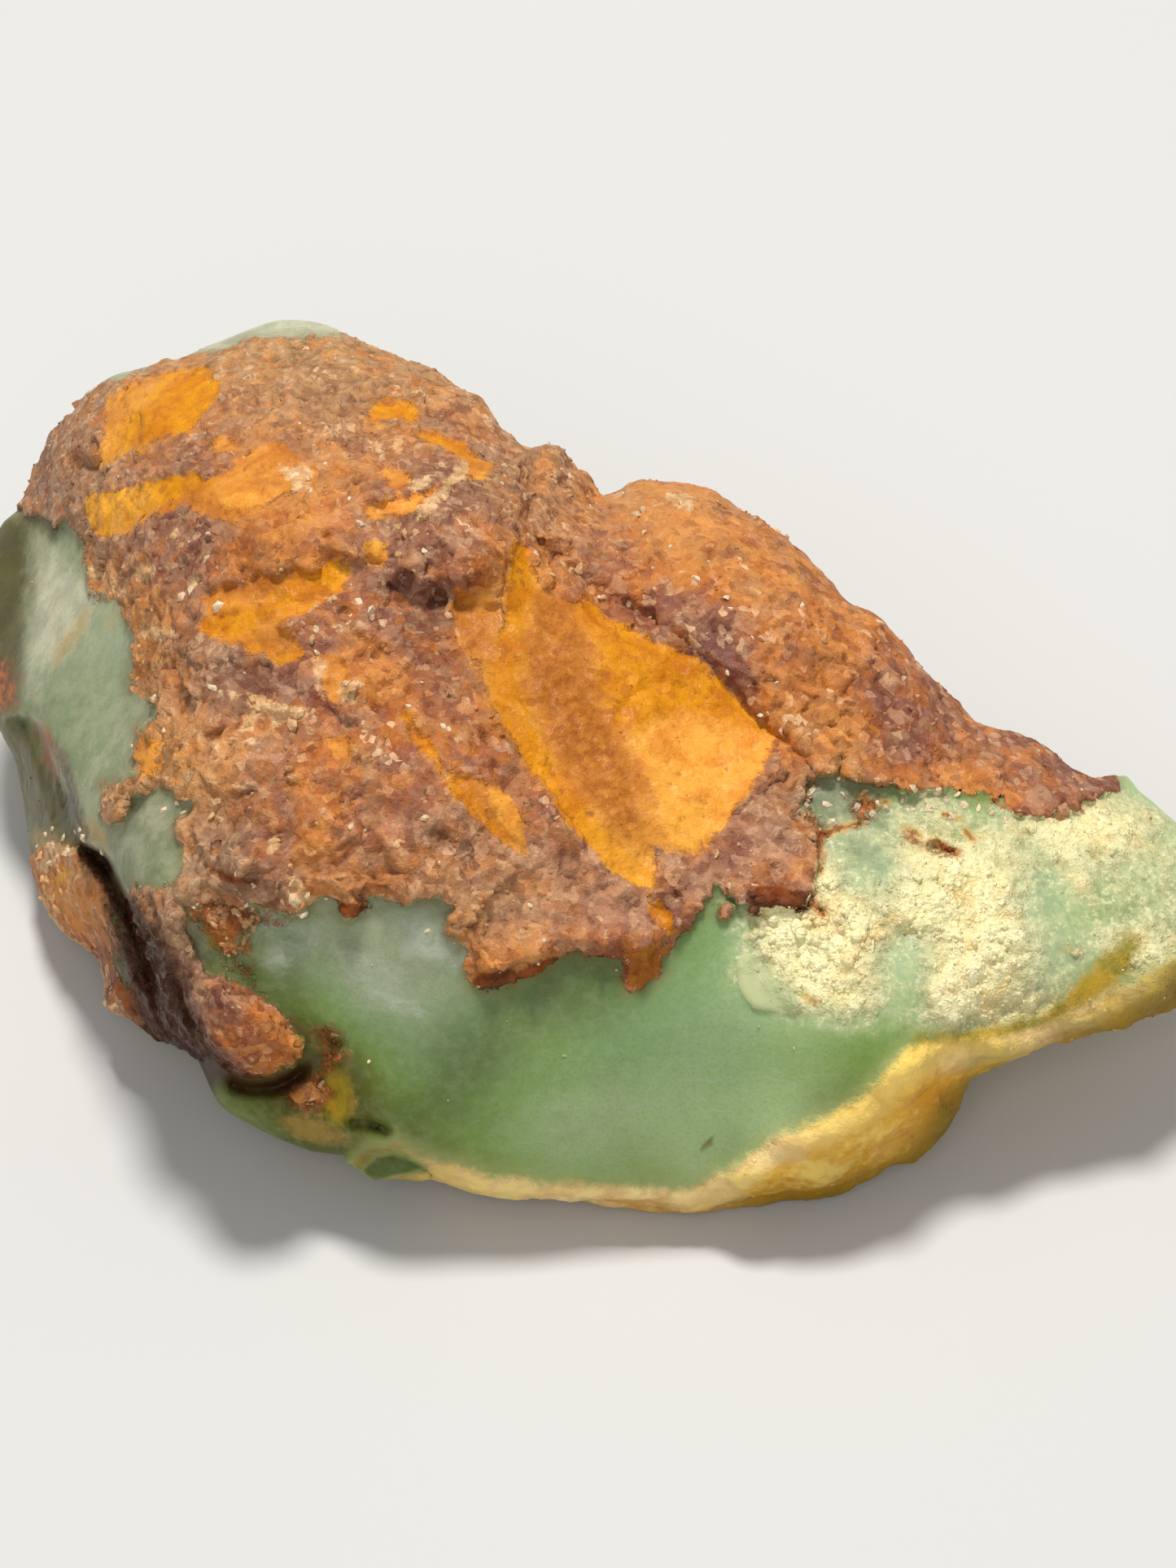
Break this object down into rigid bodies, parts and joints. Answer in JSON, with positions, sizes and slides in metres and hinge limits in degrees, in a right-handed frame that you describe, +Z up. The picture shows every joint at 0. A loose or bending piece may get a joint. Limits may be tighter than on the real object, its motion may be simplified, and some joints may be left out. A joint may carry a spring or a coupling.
{
  "type": "raw chrysoprase stone",
  "caption": "Rough lump of apple-green chrysoprase with a rusty brown rind and ochre patches on top, a smooth waxy green face, a cream rim and a thin crusted wing.",
  "frame": {"origin": "on the floor, under the middle of the stone's bounding box", "axes": "+X from the thick lobed end towards the thin crusted wing, +Y towards the rear wall, away from the smooth green face, +Z up from the flat patch that the stone lies on"},
  "size_m": [0.0558, 0.041, 0.0222],
  "materials": {
    "chrysoprase": "waxy green chalcedony with a matte rusty rind"
  },
  "bodies": {
    "root": {"chrysoprase_stone": "chrysoprase"}
  },
  "joints": []
}
